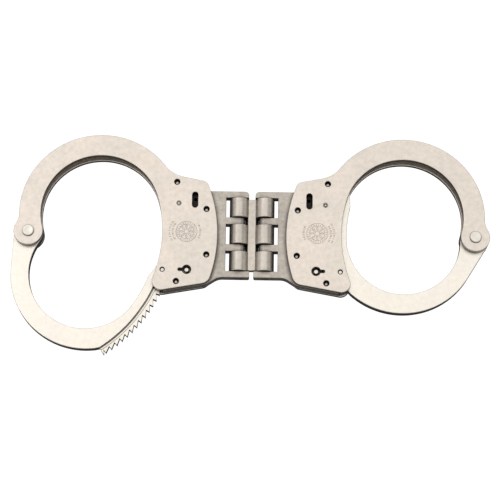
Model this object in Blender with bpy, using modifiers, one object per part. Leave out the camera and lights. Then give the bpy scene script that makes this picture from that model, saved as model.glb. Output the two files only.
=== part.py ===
"""Hinged double-lock handcuffs, lying flat with the key side up.

Two mirror-image cuffs turn on a six-barrel hinge link. Each cuff is two cheek plates riveted over
a hinge frame, with a toothed jaw on a pivot rivet. The lock body holds a pivoting lock bar with its
spring, a double-lock slide and a key post.

Sizes are in millimetres and angles in degrees. The plan is drawn for the right cuff: the origin is
the middle of the hinge link, x runs outward along the cuff, y runs across it, and z = 0 is the
middle of its thickness. The left cuff is the mirror image in x. The root empty then sets the whole
object down on z = 0 with its footprint centred on the origin.
"""

import math

import bmesh
import bpy
from mathutils import Matrix, Vector

NAME = "handcuffs"
MM = 0.001
CHORD_ERROR = 0.05
WELD = 1e-6
CUT_OVERRUN = 1.0
CREASE_ANGLE = 35
TURNED_SIDES = 24
ANTICLOCKWISE, CLOCKWISE = 1, -1
SIDES = (("right", 1), ("left", -1))

# Thickness of the stack, outermost plates first.
CHEEK = 2.5
PLATE_GAP = 0.1
FRAME = 5.2
JAW = 4.9
LOCK_PARTS = 4.8
CHEEK_BASE = FRAME / 2 + PLATE_GAP
CHEEK_FACE = CHEEK_BASE + CHEEK

# The double bow: a ring with an eye over the jaw pivot and a lock body towards the hinge.
JAW_PIVOT = Vector((98.2, -0.4))
RING_CENTRE = Vector((66.8, 8.4))
RING_INNER = 26.2
RING_OUTER = 35.7
EYE_BLEND = 8.0
SHOULDER_BLEND = 13.4
TOP_EDGE_POINT, TOP_EDGE_ANGLE = Vector((31.0, 25.5)), 11.3
BOTTOM_EDGE_POINT, BOTTOM_EDGE_ANGLE = Vector((24.0, -23.6)), -10.2
BACK_CENTRE, BACK_RADIUS = Vector((77.9, -1.2)), 62.8
TOP_CORNER, BOTTOM_CORNER, RING_CORNER = 3.0, 4.5, 4.0

# Holes and fasteners of the lock body.
BODY_RIVETS = (Vector((33.3, 22.9)), Vector((20.1, 10.6)), Vector((19.8, -10.1)), Vector((32.8, -22.3)))
BODY_RIVET_RADIUS, BODY_RIVET_RECESS = 1.2, 1.5
HOLE_CLEARANCE = 0.1
KEY_CENTRE = Vector((28.3, -17.0))
KEYHOLE_RADIUS, BIT_REACH, BIT_WIDTH = 2.0, 3.9, 1.3
KEY_POST_RADIUS, KEY_POST_RECESS = 1.0, 0.8
SLOT_CENTRE, SLOT_LENGTH, SLOT_WIDTH = Vector((25.2, 14.8)), 7.2, 2.6
GUIDE_STUD, GUIDE_STUD_RADIUS = Vector((38.9, -17.1)), 0.95
GUIDE_STUD_RECESS, GUIDE_STUD_TIP = 0.7, 2.0
PIVOT_SHANK, PIVOT_HEAD, PIVOT_HEAD_HEIGHT = 2.0, 2.55, 0.9
PIVOT_HEAD_FLAT, PIVOT_HEAD_SIDE = 0.75, 0.7
PIVOT_FOOT_BORE, PIVOT_FOOT_DEPTH = 2.75, 0.9

# The jaw at its reference position. A polar angle about the pivot starts on -x and grows towards -y.
JAW_SWEEP = 65.2
BOW_INNER_CENTRE, BOW_INNER = Vector((66.75, -1.0)), 25.05
BOW_OUTER_CENTRE, BOW_OUTER = Vector((65.9, -0.9)), 33.7
BOW_END_INSET = 0.6
WEB_EDGE, STEP_EDGE = 60.4, 61.6
STEP_OVERLAP, STEP_INSET = 0.8, 0.1
TOOTH_ROOT, TOOTH_TIP = 62.7, 64.4
TOOTH_COUNT, TOOTH_PITCH, TOOTH_SLOPE = 16, 2.6, 2.5
TOOTH_CORNER = 0.3
FIRST_TOOTH, JAW_TIP, WEB_END = -19.0, -21.4, 23.6
TIP_LEAD, TIP_RISE = 0.2, 0.4
TAPER_START, TIP_INNER = -14.0, 59.2
STEP_THICKNESS, TOOTH_THICKNESS = 3.3, 2.7
TEETH_OPEN = {"right": 0, "left": 13}

# The hinge: pins along y, barrels on the link, and lugs and knuckles on the frame between them.
PIN_X, PIN_RADIUS, PIN_LENGTH = 5.65, 1.5, 39.0
BORE_RADIUS = 1.6
BARREL_RADIUS, BARREL_LENGTH, BARREL_PITCH = 4.25, 8.7, 12.2
BARREL_PLACES = (BARREL_PITCH, 0.0, -BARREL_PITCH)
LINK_WEB = Vector((3.6, 32.5, 3.3))
LINK_FLANGE, FLANGE_HEIGHT = Vector((5.7, 32.5, 1.0)), -1.15
HINGE_WIDTH, WINDOW_WIDTH = 39.2, 9.1
TOP_LUG_END, LOW_LUG_END, KNUCKLE_END, WINDOW_END = 1.4, 0.9, 3.05, 11.5
KNUCKLE_ROUND, KNUCKLE_SEGMENTS = 2.59, 6
STRAIGHT = 0.001
FOOT_START, FOOT_END, FOOT_BLEND = 14.5, 19.5, 6.0

# The cavity of the lock body.
CAVITY_BACK, CAVITY_TOP, CAVITY_BOTTOM = 23.4, 19.1, -18.5
KEY_CLEARANCE = 4.2
CAVITY_CHAMFER = 0.4

# The lock bar, drawn engaged. It is stored lifted off the jaw's teeth.
BAR_PIVOT, BAR_PIN_RADIUS = Vector((32.3, 13.1)), 0.9
BAR_INNER, BAR_OUTER = 64.9, 69.7
BAR_TOOTH_TIP, BAR_TOOTH_START, BAR_TOOTH_COUNT, BAR_TOOTH_LEAD = 62.95, 4.4, 3, 0.15
BAR_END = -14.3
FINGER_LEFT, FINGER_RIGHT, FINGER_SLOT_RIGHT, FINGER_SLOT_TOP = 29.6, 31.0, 33.0, -12.2
REBATE_TOP, REBATE_BOTTOM, REBATE_RIGHT, REBATE_LEFT = -4.2, -11.2, 32.5, 26.0
TONGUE_LEFT, TONGUE_RIGHT, TONGUE_TOP = 30.1, 30.8, -8.9
REBATE_FLOOR = -0.1
BAR_LIFT = 6.0

# The double-lock slide, drawn unlocked.
SLIDE_LEFT, SLIDE_RIGHT = 23.7, 26.3
BLOCK_TOP, BLOCK_BOTTOM = 18.5, 9.5
PEG_HOLE, PEG_HOLE_RADIUS, PEG_HOLE_FLOOR = Vector((25.0, 15.6)), 0.8, 0.6
STRIP_INSET, STRIP_FLOOR, STRIP_END = 0.1, 0.15, -13.1
ARM_TOP, ARM_BOTTOM, STOP_LEFT, STOP_RIGHT, STOP_END = -4.7, -5.9, 28.9, 29.7, -8.1

# The lock bar's spring, a V of flat strip in the lower half of the cavity.
SPRING_THICKNESS, SPRING_FLOOR, SPRING_TOP = 0.4, -2.3, -0.2
SPRING_FOOT, SPRING_BEND, SPRING_BEND_RADIUS = Vector((23.75, -9.0)), Vector((24.55, 5.3)), 0.8
SPRING_BEND_START, SPRING_BEND_END = 180, 12
SPRING_TIP = Vector((26.5, -2.9))

# Base colour, roughness.
SATIN_NICKEL = (0.76, 0.71, 0.63), 0.32
DARK_NICKEL = (0.42, 0.39, 0.35), 0.38
BRIGHT_NICKEL = (0.80, 0.77, 0.71), 0.24
OILED_STEEL = (0.20, 0.19, 0.18), 0.42
SPRING_STEEL = (0.24, 0.24, 0.27), 0.30


# ---------------------------------------------------------------------------------------------
# Plan geometry, in millimetres


def along(angle):
    """The unit vector at an angle from +x."""
    return Vector((math.cos(math.radians(angle)), math.sin(math.radians(angle))))


def left_of(angle):
    """The unit vector to the left of a line that runs at an angle."""
    return along(angle + 90)


def heading(vector):
    """The angle of a vector from +x."""
    return math.degrees(math.atan2(vector.y, vector.x))


def arc(centre, radius, start, end, way):
    """Points from one heading to another round a centre, with chords within CHORD_ERROR of the arc."""
    sweep = way * ((way * (end - start)) % 360)
    step = math.degrees(2 * math.acos(1 - CHORD_ERROR / radius))
    count = max(2, math.ceil(abs(sweep) / step))
    return [centre + radius * along(start + sweep * i / count) for i in range(count + 1)]


def circle(centre, radius):
    return arc(centre, radius, 0, 359.999, ANTICLOCKWISE)[:-1]


def circles_meet(first, first_radius, second, second_radius, side):
    """The point at two distances from two centres, left (1) or right (-1) of the line between them."""
    gap = (second - first).length
    foot = (gap**2 + first_radius**2 - second_radius**2) / (2 * gap)
    offset = math.sqrt(first_radius**2 - foot**2)
    angle = heading(second - first)
    return first + foot * along(angle) + side * offset * left_of(angle)


def line_enters_circle(point, angle, centre, radius):
    """The first point where a line, followed at its angle, meets a circle."""
    foot = (centre - point).dot(along(angle))
    nearest = point + foot * along(angle)
    half_chord = math.sqrt(radius**2 - (nearest - centre).length_squared)
    return nearest - half_chord * along(angle)


def rounded(before, corner, after, radius):
    """The arc that rounds a corner between two straight edges."""
    back, on = (before - corner).normalized(), (after - corner).normalized()
    half = back.angle(on) / 2
    centre = corner + (back + on).normalized() * radius / math.sin(half)
    start = corner + back * radius / math.tan(half) - centre
    end = corner + on * radius / math.tan(half) - centre
    way = ANTICLOCKWISE if start.cross(end) > 0 else CLOCKWISE
    return arc(centre, radius, heading(start), heading(end), way)


def joined(*pieces):
    """One outline from several runs of points, without the points that repeat where they meet."""
    points = [point for piece in pieces for point in piece]
    return [point for i, point in enumerate(points) if (point - points[i - 1]).length > 1e-4]


def about_pivot(angle, radius):
    """A point at a polar angle about the jaw pivot, from -x and growing towards -y."""
    return JAW_PIVOT + radius * along(180 + angle)


# ---------------------------------------------------------------------------------------------
# Outlines of the pieces


def shoulder_centre():
    start = TOP_EDGE_POINT + SHOULDER_BLEND * left_of(TOP_EDGE_ANGLE)
    return line_enters_circle(start, TOP_EDGE_ANGLE, RING_CENTRE, RING_OUTER + SHOULDER_BLEND)


def top_corner_centre():
    start = TOP_EDGE_POINT - TOP_CORNER * left_of(TOP_EDGE_ANGLE)
    return line_enters_circle(start, TOP_EDGE_ANGLE, BACK_CENTRE, BACK_RADIUS - TOP_CORNER)


def bottom_corner_centre():
    start = BOTTOM_EDGE_POINT + BOTTOM_CORNER * left_of(BOTTOM_EDGE_ANGLE)
    return line_enters_circle(start, BOTTOM_EDGE_ANGLE, BACK_CENTRE, BACK_RADIUS - BOTTOM_CORNER)


def shoulder_outline(ring_start):
    """The ring's outside from a heading, the shoulder, the top edge and the top corner."""
    shoulder, corner = shoulder_centre(), top_corner_centre()
    up = TOP_EDGE_ANGLE + 90
    return joined(
        arc(RING_CENTRE, RING_OUTER, ring_start, heading(shoulder - RING_CENTRE), ANTICLOCKWISE),
        arc(shoulder, SHOULDER_BLEND, heading(RING_CENTRE - shoulder), up + 180, CLOCKWISE),
        arc(corner, TOP_CORNER, up, heading(corner - BACK_CENTRE), ANTICLOCKWISE),
    )


def cheek_outline():
    """Half of the double bow: eye, ring and lock body in one plate."""
    towards_ring = heading(RING_CENTRE - JAW_PIVOT)
    reach = (RING_CENTRE - JAW_PIVOT).length
    eye = reach - RING_INNER
    inner_edge = reach + RING_INNER
    blend = circles_meet(RING_CENTRE, RING_OUTER + EYE_BLEND, JAW_PIVOT, eye + EYE_BLEND, 1)
    start = BOTTOM_EDGE_POINT + RING_CORNER * left_of(BOTTOM_EDGE_ANGLE)
    corner = line_enters_circle(start, BOTTOM_EDGE_ANGLE, JAW_PIVOT, inner_edge + RING_CORNER)
    back_top, back_bottom = top_corner_centre(), bottom_corner_centre()
    down = BOTTOM_EDGE_ANGLE - 90
    return joined(
        arc(JAW_PIVOT, eye, towards_ring, heading(blend - JAW_PIVOT), ANTICLOCKWISE),
        arc(blend, EYE_BLEND, heading(JAW_PIVOT - blend), heading(RING_CENTRE - blend), CLOCKWISE),
        shoulder_outline(heading(blend - RING_CENTRE)),
        arc(
            BACK_CENTRE,
            BACK_RADIUS,
            heading(back_top - BACK_CENTRE),
            heading(back_bottom - BACK_CENTRE),
            ANTICLOCKWISE,
        ),
        arc(back_bottom, BOTTOM_CORNER, heading(back_bottom - BACK_CENTRE), down, ANTICLOCKWISE),
        arc(corner, RING_CORNER, down, heading(JAW_PIVOT - corner), ANTICLOCKWISE),
        arc(JAW_PIVOT, inner_edge, heading(corner - JAW_PIVOT), towards_ring, CLOCKWISE),
        arc(RING_CENTRE, RING_INNER, towards_ring, towards_ring + 180, CLOCKWISE),
    )


def keyhole_outline():
    """A round hole with a slot for the key's bit, towards the ring."""
    half = BIT_WIDTH / 2
    mouth = math.degrees(math.asin(half / KEYHOLE_RADIUS))
    slot_end = KEY_CENTRE + Vector((BIT_REACH - half, 0))
    return joined(
        arc(KEY_CENTRE, KEYHOLE_RADIUS, mouth, -mouth, ANTICLOCKWISE),
        arc(slot_end, half, -90, 90, ANTICLOCKWISE),
    )


def slot_outline():
    """The long slot over the double-lock slide."""
    radius = SLOT_WIDTH / 2
    reach = Vector((0, SLOT_LENGTH / 2 - radius))
    return joined(
        arc(SLOT_CENTRE + reach, radius, 0, 180, ANTICLOCKWISE),
        arc(SLOT_CENTRE - reach, radius, 180, 360, ANTICLOCKWISE),
    )


def comb_outline():
    """The frame's hinge side from the top down: a lug, two knuckles, a lug, and a window between each."""
    ends = (TOP_LUG_END, KNUCKLE_END, KNUCKLE_END, LOW_LUG_END)
    points = [Vector((TOP_LUG_END, HINGE_WIDTH / 2))]
    for place, above, below in zip(BARREL_PLACES, ends, ends[1:]):
        top, bottom = place + WINDOW_WIDTH / 2, place - WINDOW_WIDTH / 2
        points += [Vector((above, top)), Vector((WINDOW_END, top))]
        points += [Vector((WINDOW_END, bottom)), Vector((below, bottom))]
    return points + [Vector((LOW_LUG_END, -HINGE_WIDTH / 2))]


def cavity_outline():
    """The walls round the lock parts, from the mouth below the jaw to the mouth above it."""
    drop = math.degrees(math.asin((KEY_CENTRE.y - CAVITY_BOTTOM) / KEY_CLEARANCE))
    corner = Vector((CAVITY_BACK, KEY_CENTRE.y + CAVITY_CHAMFER))
    return joined(
        arc(KEY_CENTRE, KEY_CLEARANCE, -drop, 180, CLOCKWISE),
        [corner, Vector((CAVITY_BACK, CAVITY_TOP))],
    )


def frame_outline():
    """The spacer between the cheeks and the hinge plate that runs on from it."""
    ring_crossing = circles_meet(JAW_PIVOT, JAW_SWEEP, RING_CENTRE, RING_OUTER, -1)
    back_top = top_corner_centre()
    plate_top = 180 - math.degrees(math.asin((HINGE_WIDTH / 2 - BACK_CENTRE.y) / BACK_RADIUS))
    foot_start = Vector((FOOT_START, -HINGE_WIDTH / 2))
    slope = math.tan(math.radians(BOTTOM_EDGE_ANGLE))
    foot_end = Vector((FOOT_END, BOTTOM_EDGE_POINT.y + slope * (FOOT_END - BOTTOM_EDGE_POINT.x)))
    comb = comb_outline()
    mouth = line_enters_circle(BOTTOM_EDGE_POINT, BOTTOM_EDGE_ANGLE, JAW_PIVOT, JAW_SWEEP)
    cavity_low = math.degrees(math.asin((JAW_PIVOT.y - CAVITY_BOTTOM) / JAW_SWEEP))
    cavity_high = math.degrees(math.asin((CAVITY_TOP - JAW_PIVOT.y) / JAW_SWEEP))
    return joined(
        shoulder_outline(heading(ring_crossing - RING_CENTRE)),
        arc(BACK_CENTRE, BACK_RADIUS, heading(back_top - BACK_CENTRE), plate_top, ANTICLOCKWISE),
        comb,
        rounded(comb[-1], foot_start, foot_end, FOOT_BLEND),
        rounded(foot_start, foot_end, mouth, FOOT_BLEND),
        arc(JAW_PIVOT, JAW_SWEEP, heading(mouth - JAW_PIVOT), 180 + cavity_low, CLOCKWISE),
        cavity_outline(),
        arc(JAW_PIVOT, JAW_SWEEP, 180 - cavity_high, heading(ring_crossing - JAW_PIVOT), CLOCKWISE),
    )


def jaw_outline():
    """The jaw's full-thickness plate: hub, bow and toothless web, which tapers towards its tip."""
    to_inner = heading(BOW_INNER_CENTRE - JAW_PIVOT)
    reach = (BOW_INNER_CENTRE - JAW_PIVOT).length
    hub, web_inner = reach - BOW_INNER, reach + BOW_INNER
    shoulder = circles_meet(JAW_PIVOT, hub, BOW_OUTER_CENTRE, BOW_OUTER, 1)
    web_start = about_pivot(WEB_END, WEB_EDGE)
    bow_end = circles_meet(JAW_PIVOT, WEB_EDGE - BOW_END_INSET, BOW_OUTER_CENTRE, BOW_OUTER, 1)
    return joined(
        arc(JAW_PIVOT, hub, to_inner, heading(shoulder - JAW_PIVOT), CLOCKWISE),
        arc(
            BOW_OUTER_CENTRE,
            BOW_OUTER,
            heading(shoulder - BOW_OUTER_CENTRE),
            heading(bow_end - BOW_OUTER_CENTRE),
            CLOCKWISE,
        ),
        arc(JAW_PIVOT, WEB_EDGE, heading(web_start - JAW_PIVOT), 180 + JAW_TIP, CLOCKWISE),
        [about_pivot(JAW_TIP, TIP_INNER)],
        arc(JAW_PIVOT, web_inner, 180 + TAPER_START, to_inner, ANTICLOCKWISE),
        arc(BOW_INNER_CENTRE, BOW_INNER, to_inner, to_inner + 180, ANTICLOCKWISE),
    )


def step_outline(outer_run):
    """A thinner sector along the web, from inside the web out to a run of points from its end to its tip."""
    inner = WEB_EDGE - STEP_OVERLAP
    start, end = heading(outer_run[-1] - JAW_PIVOT), heading(outer_run[0] - JAW_PIVOT)
    return joined(outer_run, arc(JAW_PIVOT, inner, start, end, ANTICLOCKWISE))


def tooth_run():
    """The teeth from the web's end to its tip: steep flanks face the end, slopes face the tip."""
    low_corner = about_pivot(WEB_END, TOOTH_TIP - TOOTH_CORNER)
    points = [low_corner, about_pivot(WEB_END - TOOTH_CORNER, TOOTH_TIP)]
    for index in reversed(range(TOOTH_COUNT)):
        root = FIRST_TOOTH + TOOTH_PITCH * index
        points.append(about_pivot(root + TOOTH_PITCH, TOOTH_ROOT))
        points.append(about_pivot(root + TOOTH_SLOPE, TOOTH_TIP))
    points.append(about_pivot(FIRST_TOOTH, TOOTH_ROOT))
    points.append(about_pivot(JAW_TIP + TIP_LEAD, STEP_EDGE + TIP_RISE))
    return points


def bar_outline():
    """The lock bar, engaged: eye, curved band, three teeth and the finger that the key pushes."""
    to_bar = heading(BAR_PIVOT - JAW_PIVOT)
    band = (BAR_OUTER - BAR_INNER) / 2
    finger_angle = math.degrees(math.acos((JAW_PIVOT.x - FINGER_LEFT) / BAR_OUTER))
    end_angle = math.degrees(math.asin((JAW_PIVOT.y - BAR_END) / BAR_INNER))
    teeth = [about_pivot(end_angle, BAR_INNER)]
    for index in reversed(range(BAR_TOOTH_COUNT)):
        start = BAR_TOOTH_START + TOOTH_PITCH * index
        teeth.append(about_pivot(start + TOOTH_PITCH, BAR_INNER))
        teeth.append(about_pivot(start + BAR_TOOTH_LEAD, BAR_TOOTH_TIP))
        teeth.append(about_pivot(start + BAR_TOOTH_LEAD, BAR_INNER))
    last = heading(teeth[-1] - JAW_PIVOT)
    return joined(
        arc(BAR_PIVOT, band, to_bar + 180, to_bar, ANTICLOCKWISE),
        arc(JAW_PIVOT, BAR_OUTER, to_bar, 180 + finger_angle, ANTICLOCKWISE),
        [Vector((FINGER_LEFT, BAR_END)), Vector((FINGER_RIGHT, BAR_END))],
        [Vector((FINGER_RIGHT, FINGER_SLOT_TOP)), Vector((FINGER_SLOT_RIGHT, FINGER_SLOT_TOP))],
        [Vector((FINGER_SLOT_RIGHT, BAR_END))],
        teeth,
        arc(JAW_PIVOT, BAR_INNER, last, to_bar, CLOCKWISE),
    )


def rebate_outline():
    """What is cut from the upper half of the lock bar, round the tongue that the slide's stop holds."""
    return [
        Vector((REBATE_LEFT, REBATE_BOTTOM)),
        Vector((TONGUE_LEFT, REBATE_BOTTOM)),
        Vector((TONGUE_LEFT, TONGUE_TOP)),
        Vector((TONGUE_RIGHT, TONGUE_TOP)),
        Vector((TONGUE_RIGHT, REBATE_BOTTOM)),
        Vector((REBATE_RIGHT, REBATE_BOTTOM)),
        Vector((REBATE_RIGHT, REBATE_TOP)),
        Vector((REBATE_LEFT, REBATE_TOP)),
    ]


def strip_outline():
    """The slide's thin strip, which runs down past the lock bar, with its arm and stop."""
    left, right = SLIDE_LEFT + STRIP_INSET, SLIDE_RIGHT - STRIP_INSET
    inside_block = (BLOCK_TOP + BLOCK_BOTTOM) / 2
    return [
        Vector((left, inside_block)),
        Vector((left, STRIP_END)),
        Vector((right, STRIP_END)),
        Vector((right, ARM_BOTTOM)),
        Vector((STOP_LEFT, ARM_BOTTOM)),
        Vector((STOP_LEFT, STOP_END)),
        Vector((STOP_RIGHT, STOP_END)),
        Vector((STOP_RIGHT, ARM_TOP)),
        Vector((right, ARM_TOP)),
        Vector((right, inside_block)),
    ]


# ---------------------------------------------------------------------------------------------
# Making meshes and objects


def curve_mesh(runs, bottom, top, closed):
    """The mesh of 2D poly splines extruded from one height to another, filled where they are closed."""
    data = bpy.data.curves.new("outline", "CURVE")
    data.dimensions = "2D"
    data.fill_mode = "BOTH" if closed else "NONE"
    data.extrude = (top - bottom) / 2 * MM
    for run in runs:
        spline = data.splines.new("POLY")
        spline.points.add(len(run) - 1)
        for slot, point in zip(spline.points, run):
            slot.co = (point.x * MM, point.y * MM, 0, 1)
        spline.use_cyclic_u = closed
    curve = bpy.data.objects.new("outline", data)
    bpy.context.scene.collection.objects.link(curve)
    mesh = bpy.data.meshes.new_from_object(curve.evaluated_get(bpy.context.evaluated_depsgraph_get()))
    bpy.data.objects.remove(curve)
    bpy.data.curves.remove(data)
    mesh.transform(Matrix.Translation((0, 0, (top + bottom) / 2 * MM)))
    mesh.materials.clear()
    return mesh


def edited(mesh, edit):
    """The same mesh after an edit on it as a bmesh."""
    work = bmesh.new()
    work.from_mesh(mesh)
    edit(work)
    bmesh.ops.recalc_face_normals(work, faces=work.faces)
    work.to_mesh(mesh)
    work.free()
    return mesh


def weld(work):
    bmesh.ops.remove_doubles(work, verts=work.verts, dist=WELD)


def plate(outlines, bottom, top):
    """A flat plate from its outline and the outlines of its holes."""
    return edited(curve_mesh(outlines, bottom, top, True), weld)


def rounded_comb_plate():
    """The hinge frame's plate with the ends of its knuckles rounded about the pin."""

    def round_ends(work):
        weld(work)
        bmesh.ops.dissolve_limit(work, angle_limit=STRAIGHT, verts=work.verts, edges=work.edges)
        at_end = [
            edge
            for edge in work.edges
            if all(abs(vert.co.x - KNUCKLE_END * MM) < WELD for vert in edge.verts)
            and abs(edge.verts[0].co.z - edge.verts[1].co.z) < WELD
        ]
        bmesh.ops.bevel(
            work,
            geom=at_end,
            offset=KNUCKLE_ROUND * MM,
            segments=KNUCKLE_SEGMENTS,
            profile=0.5,
            affect="EDGES",
        )

    half = FRAME / 2
    return edited(curve_mesh([frame_outline()], -half, half, True), round_ends)


def cylinder(centre, radius, bottom, top, segments=18):
    """An upright cylinder at a point of the plan."""
    mesh = bpy.data.meshes.new("cylinder")
    place = Vector((centre.x, centre.y, (bottom + top) / 2)) * MM

    def make(work):
        bmesh.ops.create_cone(
            work,
            cap_ends=True,
            segments=segments,
            radius1=radius * MM,
            radius2=radius * MM,
            depth=(top - bottom) * MM,
            matrix=Matrix.Translation(place),
        )

    return edited(mesh, make)


def crosswise_cylinder(x, y, radius, length, segments=24):
    """A cylinder that lies along y at the middle of the thickness."""
    mesh = cylinder(Vector((0, 0)), radius, -length / 2, length / 2, segments)
    mesh.transform(Matrix.Rotation(math.radians(90), 4, "X"))
    mesh.transform(Matrix.Translation(Vector((x, y, 0)) * MM))
    return mesh


def block(low, high):
    """A box between two corners."""
    mesh = bpy.data.meshes.new("block")
    size = Matrix.Diagonal(((high - low) * MM).to_4d())
    size[3][3] = 1
    place = Matrix.Translation((low + high) / 2 * MM)
    return edited(mesh, lambda work: bmesh.ops.create_cube(work, size=1, matrix=place @ size))


def profile(points):
    """The half section of a turned piece, as a line of edges in the xz plane."""
    mesh = bpy.data.meshes.new("profile")
    edges = [(i, i + 1) for i in range(len(points) - 1)]
    mesh.from_pydata([(radius * MM, 0, height * MM) for radius, height in points], edges, [])
    return mesh


def metal(name, finish):
    """A plain metal for one piece."""
    colour, roughness = finish
    material = bpy.data.materials.new(name)
    material.use_nodes = True
    shader = material.node_tree.nodes["Principled BSDF"]
    shader.inputs["Base Color"].default_value = (*colour, 1)
    shader.inputs["Metallic"].default_value = 1
    shader.inputs["Roughness"].default_value = roughness
    return material


class Maker:
    """Places pieces, drawn for the right cuff, on one side and under one parent empty."""

    def __init__(self, parts, cutters, parent, side):
        self.parts, self.cutters, self.parent, self.side = parts, cutters, parent, side

    def mirrored(self, mesh):
        if self.side < 0:
            mesh.transform(Matrix.Scale(-1, 4, (1, 0, 0)))
            mesh.flip_normals()
        return mesh

    def piece(self, name, mesh, finish, origin=(0, 0, 0), turn=0.0):
        """A named solid with its origin at a point of the plan, turned about z there."""
        origin = Vector(origin).to_3d()
        mesh.transform(Matrix.Translation(-origin * MM))
        obj = bpy.data.objects.new(name, self.mirrored(mesh))
        obj.data.name = name
        obj.data.materials.append(metal(name, finish))
        obj.location = Vector((self.side * origin.x, origin.y, origin.z)) * MM - self.parent.location
        obj.rotation_euler.z = math.radians(self.side * turn)
        obj.parent = self.parent
        self.parts.objects.link(obj)
        return obj

    def combine(self, target, mesh, operation, origin=(0, 0, 0)):
        """A live Boolean on a piece, with its operand drawn in the same plan and carried by the piece."""
        mesh.transform(Matrix.Translation(-Vector(origin).to_3d() * MM))
        count = len(target.modifiers)
        tool = bpy.data.objects.new(f"{target.name}_tool_{count}", self.mirrored(mesh))
        tool.parent = target
        tool.hide_render = True
        tool.display_type = "WIRE"
        self.cutters.objects.link(tool)
        modifier = target.modifiers.new(f"{operation.lower()} {count}", "BOOLEAN")
        modifier.operation = operation
        modifier.object = tool
        modifier.solver = "EXACT"

    def turned(self, name, points, finish, centre):
        """A turned solid on an upright axis."""
        obj = self.piece(name, profile(points), finish)
        obj.location = Vector((self.side * centre.x, centre.y, 0)) * MM - self.parent.location
        screw = obj.modifiers.new("turned", "SCREW")
        screw.steps = screw.render_steps = TURNED_SIDES
        screw.use_merge_vertices = True
        screw.merge_threshold = WELD
        return obj


def empty(name, parent, location=(0, 0, 0)):
    obj = bpy.data.objects.new(name, None)
    obj.location = location
    obj.parent = parent
    bpy.context.scene.collection.objects.link(obj)
    return obj


def collection(name):
    made = bpy.data.collections.new(name)
    bpy.context.scene.collection.children.link(made)
    return made


# ---------------------------------------------------------------------------------------------
# The pieces


def add_cheeks(make, side_name):
    """The two plates that carry the whole cuff. Only the upper one has the key and slide openings."""
    rivet_hole = BODY_RIVET_RADIUS + HOLE_CLEARANCE
    shared = [circle(centre, rivet_hole) for centre in BODY_RIVETS]
    shared.append(circle(BAR_PIVOT, BAR_PIN_RADIUS + HOLE_CLEARANCE))
    shared.append(circle(JAW_PIVOT, PIVOT_SHANK + HOLE_CLEARANCE))
    stud_hole = circle(GUIDE_STUD, GUIDE_STUD_RADIUS + HOLE_CLEARANCE)
    upper = [cheek_outline(), *shared, keyhole_outline(), slot_outline(), stud_hole]
    make.piece(f"{side_name}_upper_cheek", plate(upper, CHEEK_BASE, CHEEK_FACE), SATIN_NICKEL)
    post_hole = circle(KEY_CENTRE, KEY_POST_RADIUS + HOLE_CLEARANCE)
    lower = plate([cheek_outline(), *shared, post_hole], -CHEEK_FACE, -CHEEK_BASE)
    cheek = make.piece(f"{side_name}_lower_cheek", lower, SATIN_NICKEL)
    rim = PIVOT_FOOT_DEPTH - CHEEK_FACE
    counterbore = cylinder(JAW_PIVOT, PIVOT_FOOT_BORE, -CHEEK_FACE - CUT_OVERRUN, rim)
    make.combine(cheek, counterbore, "DIFFERENCE")


def add_hinge_frame(make, side_name):
    """The spacer round the lock parts, in one piece with the hinge plate."""
    frame = make.piece(f"{side_name}_hinge_frame", rounded_comb_plate(), DARK_NICKEL)
    for centre in BODY_RIVETS:
        hole = cylinder(centre, BODY_RIVET_RADIUS + HOLE_CLEARANCE, -FRAME, FRAME)
        make.combine(frame, hole, "DIFFERENCE")
    bore = crosswise_cylinder(PIN_X, 0, BORE_RADIUS, HINGE_WIDTH + 2 * CUT_OVERRUN)
    make.combine(frame, bore, "DIFFERENCE")


def add_jaw(make, side_name):
    """The swinging bow. Its toothed edge is stepped down in two thinner bands."""
    hole = circle(JAW_PIVOT, PIVOT_SHANK + HOLE_CLEARANCE)
    body = plate([jaw_outline(), hole], -JAW / 2, JAW / 2)
    turn = TEETH_OPEN[side_name] * TOOTH_PITCH
    jaw = make.piece(f"{side_name}_jaw", body, SATIN_NICKEL, JAW_PIVOT, turn)
    start, end = 180 + WEB_END - STEP_INSET, 180 + JAW_TIP + STEP_INSET
    edge = arc(JAW_PIVOT, STEP_EDGE, start, end, CLOCKWISE)
    step = plate([step_outline(edge)], -STEP_THICKNESS / 2, STEP_THICKNESS / 2)
    make.combine(jaw, step, "UNION", JAW_PIVOT)
    teeth = plate([step_outline(tooth_run())], -TOOTH_THICKNESS / 2, TOOTH_THICKNESS / 2)
    make.combine(jaw, teeth, "UNION", JAW_PIVOT)


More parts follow.
